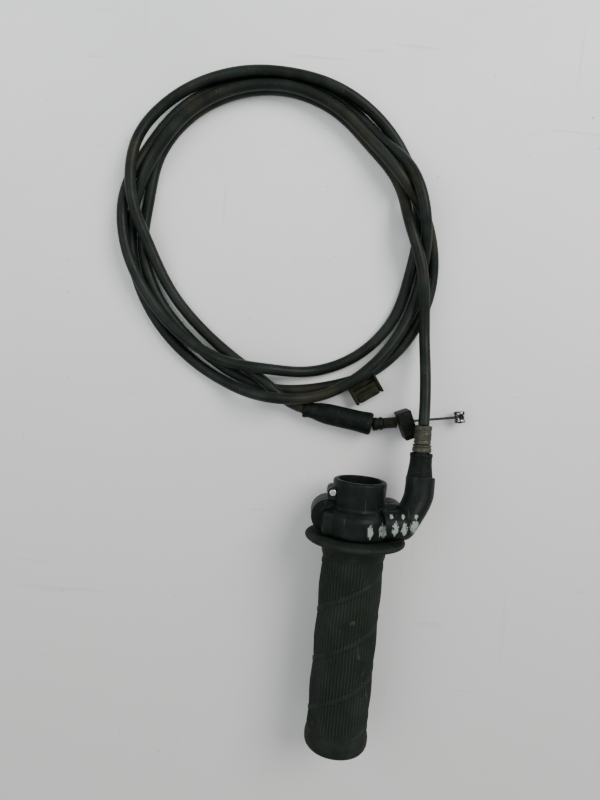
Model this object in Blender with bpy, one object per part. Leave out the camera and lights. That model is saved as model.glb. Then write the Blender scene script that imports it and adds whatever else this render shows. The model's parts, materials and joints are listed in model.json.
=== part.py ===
"""Twist throttle grip with its housing, cable guide and full-length cable.

Lengths are written in millimetres. X is across the handlebar, Y runs along it towards the
housing's collar, and Z is up from the surface that the part lies on. The handlebar's axis is
the line x = 0 at the height AXIS_Z, and y = 0 is the middle of the grip's flange. The function
world() turns such a point into metres in the model's own frame, whose origin is below the
middle of the grip and its housing.
"""

import math

import bmesh
import bpy
from mathutils import Matrix, Vector

MM = 0.001
GAP = 0.3

# Driving dimensions
BAR_R = 11.1
BORE_R = BAR_R + 0.25
TUBE_R = 12.6
DRUM_R = 15.2
GROOVE_R = 12.2
WIRE_R = 0.7
FLANGE_R = 26.4
GRIP_R = 16.2
GRIP_LENGTH = 114.0
HOUSING_R = 18.0
HOUSING_END = 15.5
COLLAR_R = 13.2
COLLAR_END = 31.0
ELBOW_R = 7.7
ELBOW_X = 31.2
BOOT_END = 47.8
FERRULE_END = 62.0
CABLE_R = 3.0
NUT_SIDE = 17.0
NUT_THICK = 8.5

# Where the parts lie
AXIS_Z = FLANGE_R
CENTRE_X = (ELBOW_X + ELBOW_R - FLANGE_R) / 2
CENTRE_Y = (FERRULE_END - GRIP_LENGTH) / 2
SPLIT_GAP = 0.15
CAVITY = (3.4, 14.9)
CAVITY_R = DRUM_R + 0.5
GROOVE_Y = 8.5
WIND_R = GROOVE_R + GAP + WIRE_R
LEAVE_ANGLE = math.radians(20)
NIPPLE_ANGLE = math.radians(-60)
LEFT_LOBE = (-15.3, 11.0, 9.0)
RIGHT_LOBE = (17.3, 11.3, 9.2)
LEFT_SCREW = (-20.0, 11.0)
RIGHT_SCREW = (17.6, 15.9)
SCREW_R = 1.8
LOBE_DROP = 12.0
EAR_TOP = 4.0
LUG = (-14.0, 22.6, 2.8)
CLAMP_R = 1.4
WIRE_START = (5.0, 58.8, 8.6)
WIRE_END = (53.2, 66.8, 5.6)
NUT_AT = (23.9, 60.6, NUT_SIDE / 2)
NUT_TURN = math.radians(24)
CLIP_ANGLE = math.radians(-215)

# The cable's loose loop: its centre, and the radius and height of each station, every 20
# degrees clockwise from straight above the centre, four times round
LOOP = (-55.0, 156.0)
STATION = math.radians(20)
FIRST_STATION = math.radians(120)
CABLE_HEAD = [(30.5, FERRULE_END + GAP, 24.0), (30.4, 74.0, 22.0), (29.6, 91.0, 17.5)]
CABLE_TURNS = [
    [(96.5, 10.5), (80, 14.5), (70, 13), (71.5, 3), (69.5, 3), (74, 3), (78, 3), (80, 3),
     (80.3, 3), (78.5, 3), (73.5, 3), (75, 3), (74.5, 3), (74, 3), (77, 3), (83, 3), (85.5, 3.5),
     (90, 4.5)],
    [(90.5, 3.5), (87.5, 3), (80.5, 8.5), (72, 13), (70, 9.5), (74, 9.4), (78, 9.4), (80, 9.4),
     (80.3, 9.4), (78.5, 10), (80, 6), (81.5, 3), (81.5, 3), (82, 3), (84, 3), (87, 16), (89.5, 12),
     (87, 11)],
    [(84, 6.5), (81, 4.5), (78.5, 17), (78.5, 15), (75.7, 3.5), (80.4, 3), (84.3, 3), (86.3, 3),
     (86.6, 3), (85.5, 3), (86.5, 7.5), (82.5, 10), (78, 8.5), (75.5, 9), (74, 10), (72, 13), (76, 3),
     (78, 3)],
    [(77.5, 3), (74.5, 3), (77, 3), (80, 3), (82.5, 3.9), (83, 9.6), (84.6, 9.4), (87.5, 10.3),
     (92.2, 6.4), (92, 8), (81, 13.5), (70, 7.5), (66.5, 3), (65.5, 3), (69, 3), (79.5, 9)],
]
CABLE_TAIL = [(-48.0, 71.0, 10.0), (-40.0, 65.6, 7.5), (-31.0, 63.6, 6.6)]

MATERIALS = {
    "black_plastic": ((0.030, 0.034, 0.034), 0.45, 0.0),
    "grip_rubber": ((0.034, 0.036, 0.034), 0.75, 0.0),
    "soft_rubber": ((0.026, 0.030, 0.031), 0.60, 0.0),
    "cable_vinyl": ((0.035, 0.038, 0.040), 0.40, 0.0),
    "brown_plastic": ((0.075, 0.060, 0.030), 0.55, 0.0),
    "white_nylon": ((0.55, 0.54, 0.50), 0.50, 0.0),
    "dull_steel": ((0.26, 0.25, 0.22), 0.50, 0.9),
    "bright_steel": ((0.62, 0.62, 0.60), 0.28, 1.0),
    "black_nut": ((0.028, 0.028, 0.026), 0.55, 0.0),
}


def world(x, y, z):
    """A point in millimetres, as metres in the model's frame."""
    return Vector((x - CENTRE_X, y - CENTRE_Y, z)) * MM


def above_bar(x, y, z):
    """The same for a height that is measured from the handlebar's axis."""
    return world(x, y, z + AXIS_Z)


def clear_scene():
    for thing in list(bpy.data.objects):
        bpy.data.objects.remove(thing, do_unlink=True)


def material(name):
    found = bpy.data.materials.get(name)
    if found:
        return found
    colour, roughness, metallic = MATERIALS[name]
    made = bpy.data.materials.new(name)
    made.use_nodes = True
    shader = made.node_tree.nodes["Principled BSDF"]
    shader.inputs["Base Color"].default_value = (*colour, 1.0)
    shader.inputs["Roughness"].default_value = roughness
    shader.inputs["Metallic"].default_value = metallic
    made.diffuse_color = (*colour, 1.0)
    return made


def joint_empty(name, place):
    empty = bpy.data.objects.new(name, None)
    empty.location = place
    bpy.context.collection.objects.link(empty)
    return empty


def mesh_object(name, shape, finish=None, parent=None):
    """An object from a bmesh in the model's frame; its origin goes to its parent's place."""
    bmesh.ops.recalc_face_normals(shape, faces=shape.faces)
    if parent:
        bmesh.ops.translate(shape, verts=shape.verts, vec=-parent.location)
    mesh = bpy.data.meshes.new(name)
    shape.to_mesh(mesh)
    shape.free()
    made = bpy.data.objects.new(name, mesh)
    bpy.context.collection.objects.link(made)
    made.parent = parent
    mesh.shade_smooth()
    mesh.set_sharp_from_angle(angle=math.radians(35))
    if finish:
        mesh.materials.append(material(finish))
    return made


def turned_shape(profile, start, direction, segments=48):
    """A solid of revolution: profile holds (radius, distance along the axis) in millimetres."""
    along = Vector(direction).normalized()
    turn = Vector((0, 0, 1)).rotation_difference(along).to_matrix()
    shape = bmesh.new()
    rings = []
    for radius, distance in profile:
        if radius < 1e-6:
            rings.append([shape.verts.new(start + along * distance * MM)])
            continue
        ring = []
        for step in range(segments):
            angle = math.tau * step / segments
            flat = Vector((math.cos(angle) * radius, math.sin(angle) * radius, distance)) * MM
            ring.append(shape.verts.new(start + turn @ flat))
        rings.append(ring)
    pairs = list(zip(rings, rings[1:]))
    if len(rings[0]) > 1:
        pairs.append((rings[-1], rings[0]))
    for first, second in pairs:
        for step in range(segments):
            after = (step + 1) % segments
            if len(first) == 1:
                shape.faces.new((first[0], second[after], second[step]))
            elif len(second) == 1:
                shape.faces.new((first[step], first[after], second[0]))
            else:
                shape.faces.new((first[step], first[after], second[after], second[step]))
    return shape


def rod_profile(radius, length, chamfer=0.0):
    if not chamfer:
        return [(0, 0), (radius, 0), (radius, length), (0, length)]
    return [
        (0, 0), (radius - chamfer, 0), (radius, chamfer),
        (radius, length - chamfer), (radius - chamfer, length), (0, length),
    ]


def rod(name, start, end, radius, finish=None, parent=None, chamfer=0.0, segments=24):
    """A round rod between two points of the model's frame."""
    length = (end - start).length / MM
    shape = turned_shape(rod_profile(radius, length, chamfer), start, end - start, segments)
    return mesh_object(name, shape, finish, parent)


def block(name, low, high, finish=None):
    """A box between two corners of the model's frame."""
    shape = bmesh.new()
    bmesh.ops.create_cube(shape, size=1.0)
    size = Matrix.Diagonal((*(high - low), 1.0))
    bmesh.ops.transform(shape, matrix=Matrix.Translation((low + high) / 2) @ size, verts=shape.verts)
    return mesh_object(name, shape, finish)


def smooth_points(points, steps):
    """Points of a Catmull-Rom curve through the given ones."""
    ends = [2 * points[0] - points[1], *points, 2 * points[-1] - points[-2]]
    found = []
    for a, b, c, d in zip(ends, ends[1:], ends[2:], ends[3:]):
        for step in range(steps):
            t = step / steps
            found.append(0.5 * (2 * b + (c - a) * t + (2 * a - 5 * b + 4 * c - d) * t**2
                                + (3 * b - a - 3 * c + d) * t**3))
    found.append(points[-1].copy())
    return found


def swept_shape(points, radii, sides=16):
    """A closed tube along points, with one radius in millimetres for each."""
    shape = bmesh.new()
    side = Vector((0, 0, 1))
    rings = []
    for index, (point, radius) in enumerate(zip(points, radii)):
        before = points[max(index - 1, 0)]
        after = points[min(index + 1, len(points) - 1)]
        along = (after - before).normalized()
        side = (side - along * side.dot(along)).normalized()
        across = along.cross(side)
        ring = []
        for step in range(sides):
            angle = math.tau * step / sides
            ring.append(shape.verts.new(
                point + (side * math.cos(angle) + across * math.sin(angle)) * radius * MM))
        rings.append(ring)
    for first, second in zip(rings, rings[1:]):
        for step in range(sides):
            after = (step + 1) % sides
            shape.faces.new((first[step], first[after], second[after], second[step]))
    shape.faces.new(rings[0])
    shape.faces.new(list(reversed(rings[-1])))
    return shape


def swept(name, points, radii, finish=None, parent=None, sides=16):
    if not isinstance(radii, list):
        radii = [radii] * len(points)
    return mesh_object(name, swept_shape(points, radii, sides), finish, parent)


def boolean(target, operand, operation):
    """A live Boolean whose operand stays in the file as a hidden guide."""
    operand.hide_render = True
    operand.display_type = "WIRE"
    change = target.modifiers.new(operand.name, "BOOLEAN")
    change.operation = operation
    change.solver = "EXACT"
    change.object = operand


def round_bar_solid(name, profile, finish=None, parent=None, segments=48):
    """A solid turned about the handlebar; profile holds (radius, y)."""
    return mesh_object(
        name, turned_shape(profile, above_bar(0, 0, 0), (0, 1, 0), segments), finish, parent)


def on_drum(angle, radius, y):
    """A point on the drum; the angle runs from the top towards +X."""
    return above_bar(radius * math.sin(angle), y, radius * math.cos(angle))


# The twisting parts

def throttle_tube(axis):
    """The plastic tube that turns on the bar, with the cable drum at its inner end."""
    profile = [
        (BORE_R, -110.5), (TUBE_R, -110.5), (TUBE_R, 3.8), (DRUM_R, 3.8), (DRUM_R, GROOVE_Y - 1.5),
        (GROOVE_R, GROOVE_Y - 1.5), (GROOVE_R, GROOVE_Y + 1.5), (DRUM_R, GROOVE_Y + 1.5),
        (DRUM_R, 13.2), (BORE_R, 13.2),
    ]
    tube = round_bar_solid("throttle_tube", profile, "white_nylon", axis)
    pocket = rod("nipple_pocket", on_drum(NIPPLE_ANGLE, 13.6, 6.0), on_drum(NIPPLE_ANGLE, 13.6, 14.0),
                 1.9, parent=axis, segments=16)
    boolean(tube, pocket, "DIFFERENCE")


def grip_rubber(axis):
    """The rubber sleeve: flange, body, end bead and an end wall with a vent."""
    wall_in = GRIP_LENGTH - 3.2
    profile = [
        (TUBE_R + GAP, 1.6), (TUBE_R + GAP, -wall_in), (3.0, -wall_in), (3.0, -GRIP_LENGTH),
        (12.6, -GRIP_LENGTH), (14.8, -113.4), (16.3, -112.0), (16.9, -110.0), (17.0, -107.5),
        (16.6, -105.4), (GRIP_R, -104.0), (GRIP_R, -7.5), (16.9, -5.0), (18.6, -2.9), (21.0, -1.9),
        (25.2, -1.5), (26.1, -0.9), (FLANGE_R, 0.0), (26.1, 0.9), (25.2, 1.6),
    ]
    round_bar_solid("grip_rubber", profile, "grip_rubber", axis)


def drum_nipple(axis):
    rod("drum_nipple", on_drum(NIPPLE_ANGLE, 13.6, 6.4), on_drum(NIPPLE_ANGLE, 13.6, 12.8),
        1.6, "bright_steel", axis, segments=16)


def drum_wire(axis):
    """The inner wire where it lies in the drum's groove."""
    first = NIPPLE_ANGLE + 2.0 / WIND_R
    last = LEAVE_ANGLE - GAP / WIND_R
    points = [on_drum(first + (last - first) * step / 12, WIND_R, GROOVE_Y) for step in range(13)]
    swept("drum_wire", points, WIRE_R, "bright_steel", axis, sides=8)


# The housing

def bar_half(name, lower):
    """A box that holds all of one side of the split."""
    if lower:
        return block(name, above_bar(-60, -10, -60), above_bar(60, 60, -SPLIT_GAP))
    return block(name, above_bar(-60, -10, SPLIT_GAP), above_bar(60, 60, 60))


def housing_outside(name, finish):
    """The outer shape of both halves, solid."""
    profile = [
        (0, 2.0), (16.2, 2.0), (17.5, 2.6), (HOUSING_R, 3.8), (HOUSING_R, 12.0), (17.4, 13.8),
        (15.8, HOUSING_END), (14.2, 16.2), (COLLAR_R, 17.6), (COLLAR_R, 30.2), (12.6, COLLAR_END),
        (0, COLLAR_END),
    ]
    return round_bar_solid(name, profile, finish)


def housing_hollow(name):
    """The drum's chamber and the bores for the tube and the bar."""
    profile = [
        (0, -5), (TUBE_R + 0.35, -5), (TUBE_R + 0.35, CAVITY[0]), (CAVITY_R, CAVITY[0]),
        (CAVITY_R, CAVITY[1]), (BORE_R, CAVITY[1]), (BORE_R, 40), (0, 40),
    ]
    return round_bar_solid(name, profile)


def pipe_route():
    """The wire's own way: off the drum in a straight line, then round the elbow."""
    leave = (WIND_R * math.sin(LEAVE_ANGLE), GROOVE_Y, WIND_R * math.cos(LEAVE_ANGLE))
    slope = math.tan(LEAVE_ANGLE)
    straight = [(x, GROOVE_Y, leave[2] - (x - leave[0]) * slope) for x in (9.0, 14.0, 19.0)]
    bend = [(24.4, 10.7, 5.0), (28.4, 15.6, 3.2), (30.5, 22.6, 1.7), (31.0, 30.0, 0.5),
            (31.0, 40.0, -0.9), (30.7, BOOT_END, -1.8)]
    route = [above_bar(*place) for place in (leave, *straight, *bend)]
    return smooth_points([*route, world(*CABLE_HEAD[0])], 5)


def between(points, low, high, axis):
    """The points whose coordinate along an axis, in metres, lies between two values."""
    return [point for point in points if low <= point[axis] <= high]


def elbow_shape(name, grow=0.0):
    """The moulded elbow that carries the wire off the drum and round to the cable."""
    stations = [
        ((11.0, 10.4, 9.6), 7.7), ((20.0, 10.5, 6.9), 7.9), ((25.6, 12.0, 5.0), 9.2),
        ((29.0, 17.2, 3.3), 8.8), ((30.7, 24.0, 1.8), 7.9), ((ELBOW_X, 30.0, 0.6), ELBOW_R),
        ((ELBOW_X, 35.2, -0.3), ELBOW_R),
    ]
    points = smooth_points([above_bar(*place) for place, _ in stations], 4)
    sizes = smooth_points([Vector((radius, 0, 0)) for _, radius in stations], 4)
    return swept(name, points, [size.x + grow for size in sizes], sides=24)


def upright(name, place, radius, low, high, segments=32):
    """A solid with a vertical axis, its heights measured from the bar's axis."""
    return rod(name, above_bar(*place[:2], low), above_bar(*place[:2], high), radius,
               segments=segments)


def housing_upper(route):
    """The half that faces up, with the ears over the screws and the elbow."""
    half = housing_outside("housing_upper", "black_plastic")
    boolean(half, bar_half("upper_side", lower=False), "INTERSECT")
    for name, lobe in (("left_ear", LEFT_LOBE), ("right_ear", RIGHT_LOBE)):
        boolean(half, upright(name, lobe, lobe[2], SPLIT_GAP, EAR_TOP), "UNION")
    boolean(half, upright("upper_lug", LUG, LUG[2], SPLIT_GAP, 6.0, 20), "UNION")
    boolean(half, elbow_shape("elbow"), "UNION")
    boolean(half, housing_hollow("upper_hollow"), "DIFFERENCE")
    boolean(half, swept("duct", route, 3.3 + GAP, sides=16), "DIFFERENCE")
    for name, screw in (("left_blind_hole", LEFT_SCREW), ("right_blind_hole", RIGHT_SCREW)):
        boolean(half, upright(name, screw, SCREW_R + GAP, -1, 3.0, 16), "DIFFERENCE")
    boolean(half, upright("upper_clamp_hole", LUG, CLAMP_R + GAP, -1, 20, 12), "DIFFERENCE")


def housing_lower():
    """The half that lies below, with the two lobes that take the screws."""
    half = housing_outside("housing_lower", "black_plastic")
    boolean(half, bar_half("lower_side", lower=True), "INTERSECT")
    for name, lobe in (("left_lobe", LEFT_LOBE), ("right_lobe", RIGHT_LOBE)):
        boolean(half, upright(name, lobe, lobe[2], -LOBE_DROP, -SPLIT_GAP), "UNION")
    boolean(half, upright("lower_lug", LUG, LUG[2], -7.0, -SPLIT_GAP, 20), "UNION")
    boolean(half, housing_hollow("lower_hollow"), "DIFFERENCE")
    boolean(half, elbow_shape("elbow_room", GAP), "DIFFERENCE")
    stepped = [(0, -20), (3.5, -20), (3.5, -LOBE_DROP + 3.2), (SCREW_R + GAP, -LOBE_DROP + 3.2),
               (SCREW_R + GAP, 2), (0, 2)]
    for name, place in (("left_screw_hole", LEFT_SCREW), ("right_screw_hole", RIGHT_SCREW)):
        hole = turned_shape(stepped, above_bar(*place, 0), (0, 0, 1), 16)
        boolean(half, mesh_object(name, hole), "DIFFERENCE")
    boolean(half, upright("lower_clamp_hole", LUG, CLAMP_R + GAP, -20, 1, 12), "DIFFERENCE")


def screw(name, place, head_low, head_high, tip, radius, head_radius, finish):
    """A cap screw from below, its heights measured from the bar's axis."""
    profile = [
        (0, head_low), (head_radius - 0.4, head_low), (head_radius, head_low + 0.4),
        (head_radius, head_high), (radius, head_high), (radius, tip - 0.4), (radius - 0.4, tip),
        (0, tip),
    ]
    shape = turned_shape(profile, above_bar(*place[:2], 0), (0, 0, 1), 16)
    made = mesh_object(name, shape, finish)
    key = rod(name + "_key", above_bar(*place[:2], head_low - 1),
              above_bar(*place[:2], head_low + 1.4), head_radius * 0.45, segments=6)
    boolean(made, key, "DIFFERENCE")


def housing_screws():
    for name, place in (("screw_left", LEFT_SCREW), ("screw_right", RIGHT_SCREW)):
        screw(name, place, -LOBE_DROP + 0.2, -LOBE_DROP + 2.9, 2.6, SCREW_R, 3.2, "dull_steel")
    screw("clamp_screw", LUG, -10.0, -7.0 - GAP, 7.0, CLAMP_R, 2.2, "bright_steel")


def thrust_washer():
    """The thin ring between the drum and the end of its chamber."""
    profile = [(BORE_R + 0.2, 13.5), (DRUM_R - 0.2, 13.5), (DRUM_R - 0.2, 14.6),
               (BORE_R + 0.2, 14.6)]
    round_bar_solid("thrust_washer", profile, "white_nylon")


# The cable guide

def bored_sweep(name, points, radii, bore, finish, sides=20):
    """A tube with a hole right through it."""
    made = swept(name, points, radii, finish, sides=sides)
    longer = [2 * points[0] - points[1], *points, 2 * points[-1] - points[-2]]
    boolean(made, swept(name + "_bore", longer, bore, sides=12), "DIFFERENCE")
    return made


def cable_guide(route):
    """The steel pipe in the elbow, the rubber sleeve, the band and the ferrule on its end."""
    ends = [(y - CENTRE_Y) * MM for y in (36.0, BOOT_END, BOOT_END + GAP, 52.0, 52.3, FERRULE_END)]
    inside = [point for point in route if point.x > (17.5 - CENTRE_X) * MM]
    pipe = between(inside, -1, (FERRULE_END - 0.4 - CENTRE_Y) * MM, 1)
    bored_sweep("elbow_pipe", pipe, 3.0, 1.3, "dull_steel", sides=16)
    wire = between(route, -1, (FERRULE_END - 0.5 - CENTRE_Y) * MM, 1)
    swept("pipe_wire", wire, WIRE_R, "bright_steel", sides=8)

    def piece(name, low, high, radii, finish):
        low_end, high_end = (point_at(route, low), point_at(route, high))
        middle = between(inside, low + 0.5 * MM, high - 0.5 * MM, 1)
        points = [low_end, *middle, high_end]
        count = len(points) - 1
        sizes = [radii[0] + (radii[1] - radii[0]) * step / count for step in range(count + 1)]
        bored_sweep(name, points, sizes, 3.0 + GAP, finish)

    piece("elbow_boot", ends[0], ends[1], (6.4, 6.0), "soft_rubber")
    piece("pipe_band", ends[2], ends[3], (5.0, 5.0), "dull_steel")
    piece("pipe_ferrule", ends[4], ends[5], (4.5, 4.5), "dull_steel")


def point_at(route, y):
    """The route's point at a y in metres, along the run after the elbow."""
    for first, second in zip(reversed(route[:-1]), reversed(route[1:])):
        if first.y <= y <= second.y:
            return first.lerp(second, (y - first.y) / (second.y - first.y))
    return route[-1].copy()


# The cable

def loop_point(angle, radius, height):
    return world(LOOP[0] + radius * math.sin(angle), LOOP[1] + radius * math.cos(angle), height)


def cable_route():
    """The route's own points, from the ferrule round the loop to the carburettor end."""
    route = [world(*place) for place in CABLE_HEAD]
    for turn, stations in enumerate(CABLE_TURNS):
        for index, (radius, height) in enumerate(stations):
            angle = FIRST_STATION - STATION * (index + turn * len(CABLE_TURNS[0]))
            route.append(loop_point(angle, radius, height))
    return route + [world(*place) for place in CABLE_TAIL]


def evenly(points, step):
    """The same line with points a fixed distance apart, in metres."""
    found = [points[0].copy()]
    left = step
    for first, second in zip(points, points[1:]):
        length = (second - first).length
        done = 0.0
        while length - done >= left:
            done += left
            found.append(first.lerp(second, done / length))
            left = step
        left -= length - done
    found.append(points[-1].copy())
    return found


def cable_line():
    """A smooth line through the route, never lower than a cable lying on the surface."""
    line = evenly(smooth_points(cable_route(), 12), 3 * MM)
    for _ in range(8):
        for point in line:
            point.z = max(point.z, CABLE_R * MM)
        line = [line[0], *((a + 2 * b + c) / 4 for a, b, c in zip(line, line[1:], line[2:])),
                line[-1]]
    return line


def loop_angle(point):
    centre = world(*LOOP, 0)
    return math.atan2(point.x - centre.x, point.y - centre.y)


def tube_points(line):
    """About 80 of the line's points: where it passes a station of the loop, and on straights."""
    chosen = [line[0]]
    for before, point in zip(line, line[1:]):
        passed = math.floor(loop_angle(before) / STATION) != math.floor(loop_angle(point) / STATION)
        far = (point - chosen[-1]).length
        if (passed and far > 12 * MM) or far > 30 * MM:
            chosen.append(point)
    if (line[-1] - chosen[-1]).length < 12 * MM:
        chosen.pop()
    return [*chosen, line[-1]]


def cable_jacket(points):
    curve = bpy.data.curves.new("cable_jacket", "CURVE")
    curve.dimensions = "3D"
    curve.bevel_depth = CABLE_R * MM
    curve.bevel_resolution = 2
    curve.use_fill_caps = True
    spline = curve.splines.new("POLY")
    spline.points.add(len(points) - 1)
    for spot, point in zip(spline.points, points):
        spot.co = (*point, 1.0)
    made = bpy.data.objects.new("cable_jacket", curve)
    bpy.context.collection.objects.link(made)
    curve.materials.append(material("cable_vinyl"))


def cable_clip(points):
    """The moulded clip round the outer strand where two strands cross."""
    middle = loop_point(CLIP_ANGLE, 92.4, 0)
    outward = (middle - world(*LOOP, 0)).normalized()
    turn = Matrix.Rotation(math.atan2(outward.y, outward.x), 4, "Z")

    def part(name, low, high, finish=None):
        made = block(name, Vector(low) * MM, Vector(high) * MM, finish)
        made.data.transform(Matrix.Translation(middle) @ turn)
        return made

    clip = part("cable_clip", (-6.4, -8.2, 0.0), (6.4, 8.2, 7.0), "brown_plastic")
    boolean(clip, part("clip_step", (-20, -20, 5.0), (1.6, 20, 20)), "DIFFERENCE")
    boolean(clip, swept("clip_groove", points, CABLE_R + 0.5, sides=12), "DIFFERENCE")


# The carburettor end

def along_wire(distance):
    """A point on the wire's line, measured in millimetres from the sleeve's end."""
    start, end = world(*WIRE_START), world(*WIRE_END)
    return start + (end - start).normalized() * distance * MM


def carb_boot():
    """The rubber sleeve over the cable's end."""
    start = world(*CABLE_TAIL[-1])
    end = world(*WIRE_START)
    length = (end - start).length / MM
    profile = [
        (1.3, 1.4), (3.6, 1.4), (4.2, 3.0), (5.6, 10.0), (5.8, 13.0), (5.8, length - 4),
        (6.1, length - 2), (5.6, length), (1.3, length),
    ]
    mesh_object("carb_boot", turned_shape(profile, start, end - start, 24), "soft_rubber")


def carb_fittings():
    """The ferrule and the threaded adjuster between the sleeve and the nut."""
    direction = world(*WIRE_END) - world(*WIRE_START)
    ferrule = [(1.2, 1.7), (3.6, 1.7), (3.6, 6.0), (1.2, 6.0)]
    mesh_object("carb_ferrule", turned_shape(ferrule, along_wire(0), direction, 24), "dull_steel")
    adjuster = [(1.2, 6.3)]
    for thread in range(6):
        adjuster += [(2.7, 6.3 + thread * 1.2), (3.1, 6.9 + thread * 1.2)]
    adjuster += [(2.7, 13.5), (1.2, 13.5)]
    mesh_object("carb_adjuster", turned_shape(adjuster, along_wire(0), direction, 20), "dull_steel")


def carb_nut():
    """The square block that seats in the carburettor's bracket."""
    place = world(*NUT_AT)
    turn = Matrix.Translation(place) @ Matrix.Rotation(NUT_TURN, 4, "Z")
    half = Vector((NUT_THICK, NUT_SIDE, NUT_SIDE)) * MM / 2
    nut = block("carb_nut", -half, half, "black_nut")
    nut.data.transform(turn)
    reach = (turn.to_3x3() @ Vector((1, 0, 0))) * 12 * MM
    boolean(nut, rod("nut_hole", place - reach, place + reach, 3.2), "DIFFERENCE")


def inner_wire(axis):
    """The free end of the wire with its barrel nipple."""
    length = (world(*WIRE_END) - world(*WIRE_START)).length / MM
    rod("carb_wire", along_wire(21.0), along_wire(length - 2.9), WIRE_R, "bright_steel", axis,
        segments=8)
    across = Vector((0, 0, 1)).cross(along_wire(1) - along_wire(0)).normalized() * 3.0 * MM
    tip = along_wire(length)
    rod("carb_nipple", tip - across, tip + across, 2.6, "bright_steel", axis, 0.4, 20)


def build():
    clear_scene()
    twist_axis = joint_empty("twist_axis", above_bar(0, 0, 0))
    pull_axis = joint_empty("pull_axis", along_wire(0))
    throttle_tube(twist_axis)
    grip_rubber(twist_axis)
    drum_nipple(twist_axis)
    drum_wire(twist_axis)
    route = pipe_route()
    housing_upper(route)
    housing_lower()
    housing_screws()
    thrust_washer()
    cable_guide(route)
    points = tube_points(cable_line())
    cable_jacket(points)
    cable_clip(points)
    carb_boot()
    carb_fittings()
    carb_nut()
    inner_wire(pull_axis)


build()
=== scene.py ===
import json
import math

import bpy
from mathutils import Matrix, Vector

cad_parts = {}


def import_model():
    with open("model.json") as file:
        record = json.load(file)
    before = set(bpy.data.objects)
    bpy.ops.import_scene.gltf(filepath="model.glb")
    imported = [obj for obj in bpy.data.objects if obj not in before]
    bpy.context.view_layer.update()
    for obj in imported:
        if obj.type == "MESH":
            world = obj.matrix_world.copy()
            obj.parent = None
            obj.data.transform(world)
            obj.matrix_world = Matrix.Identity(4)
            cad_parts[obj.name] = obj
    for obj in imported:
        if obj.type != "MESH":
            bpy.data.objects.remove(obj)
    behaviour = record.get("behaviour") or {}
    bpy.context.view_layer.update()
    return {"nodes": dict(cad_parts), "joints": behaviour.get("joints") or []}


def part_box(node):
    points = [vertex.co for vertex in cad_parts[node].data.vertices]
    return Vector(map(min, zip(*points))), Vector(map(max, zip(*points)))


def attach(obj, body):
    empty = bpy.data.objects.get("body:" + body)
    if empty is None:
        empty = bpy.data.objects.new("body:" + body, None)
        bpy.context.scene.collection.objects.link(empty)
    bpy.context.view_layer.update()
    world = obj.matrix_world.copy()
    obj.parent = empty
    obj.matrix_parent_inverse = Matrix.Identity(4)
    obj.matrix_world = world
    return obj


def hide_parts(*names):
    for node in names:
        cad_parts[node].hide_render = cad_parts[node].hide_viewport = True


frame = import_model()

# Lengths are in millimetres: x across the handlebar, y along it with 0 at the middle of the
# grip's flange, and z up, from the surface or, where a function says so, from the bar's axis.
MM = 0.001
TWIST = next(joint for joint in frame["joints"] if joint["name"] == "throttle_twist")
BAR = Vector(TWIST["pos_m"])

LENS = 28.8
CAMERA_AT = (-33.9, 92.6, 358.6)
CAMERA_TURN = (-3.9, 0.6, 5.16)

# The grip: its ribbed part runs between two y values, crossed by smooth spiral bands
GRIP_END = -114.0
GRIP_R = 16.2
FLANGE_R = 26.4
TUBE_R = 12.9
RIBBED = (-10.0, -102.0)
RIBBED_ROWS = 190
RIBS = 60
SIDES_PER_RIB = 6
SPIRAL_PITCH = 27.0
SPIRAL_START = -26.4
SPIRAL_STARTS = 2
BAND_HALF = 1.5
BAND_EDGE = 1.9

# The housing: radii of its bore and lugs, and the clamp screw's place as x and y
BORE_R = 11.35
LUG_R = 2.7
SPLIT_GAP = 0.35
CLAMP_AT = (-14.1, 24.0)
ELBOW_FROM = 24.0
ELBOW_SLIMMEST = 0.62
# Sizes of the grid that rounds a moulding's edges
HOUSING_VOXEL = 0.36
CLIP_VOXEL = 0.28

# The cable's route: the loop's centre, then the radius and height of each station. Stations are
# 20 degrees apart. Angles are measured clockwise from straight above the centre, and the cable
# runs through them anticlockwise. The table is the result of relaxing a hand-laid route in a
# separate program until the strands that cross stood clear of each other.
CABLE_R = 3.0
CABLE_STEP = 3.0
ROUTE_STEPS = 12
SMOOTHING_PASSES = 8
FERRULE_END = 62.3
LOOP = (-55.0, 156.0)
STATION = math.radians(20)
FIRST_STATION = math.radians(120)
CABLE_HEAD = [(30.5, FERRULE_END, 24.0), (30.4, 74.0, 22.0), (29.6, 91.0, 17.5)]
CABLE_TURNS = [
    [(96.5, 10.5), (80, 14.5), (70, 13), (71.5, 3), (69.5, 3), (74, 3), (78, 3), (80, 3),
     (80.3, 3), (78.5, 3), (73.5, 3), (75, 3), (74.5, 3), (74, 3), (77, 3), (83, 3), (85.5, 3.5),
     (90, 4.5)],
    [(90.5, 3.5), (87.5, 3), (80.5, 8.5), (72, 13), (70, 9.5), (74, 9.4), (78, 9.4), (80, 9.4),
     (80.3, 9.4), (78.5, 10), (80, 6), (81.5, 3), (81.5, 3), (82, 3), (84, 3), (87, 16),
     (89.5, 12), (87, 11)],
    [(84, 6.5), (81, 4.5), (78.5, 17), (78.5, 15), (75.7, 3.5), (80.4, 3), (84.3, 3), (86.3, 3),
     (86.6, 3), (85.5, 3), (86.5, 7.5), (82.5, 10), (78, 8.5), (75.5, 9), (74, 10), (72, 13),
     (76, 3), (78, 3)],
    [(77.5, 3), (74.5, 3), (77, 3), (80, 3), (82.5, 3.9), (83, 9.6), (84.6, 9.4), (87.5, 10.3),
     (92.2, 6.4), (92, 8), (81, 13.5), (70, 7.5), (66.5, 3), (65.5, 3), (69, 3), (79.5, 9)],
]
CABLE_TAIL = [(-48.0, 71.0, 10.0), (-40.0, 65.6, 7.5), (-31.0, 63.6, 6.6)]
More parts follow.
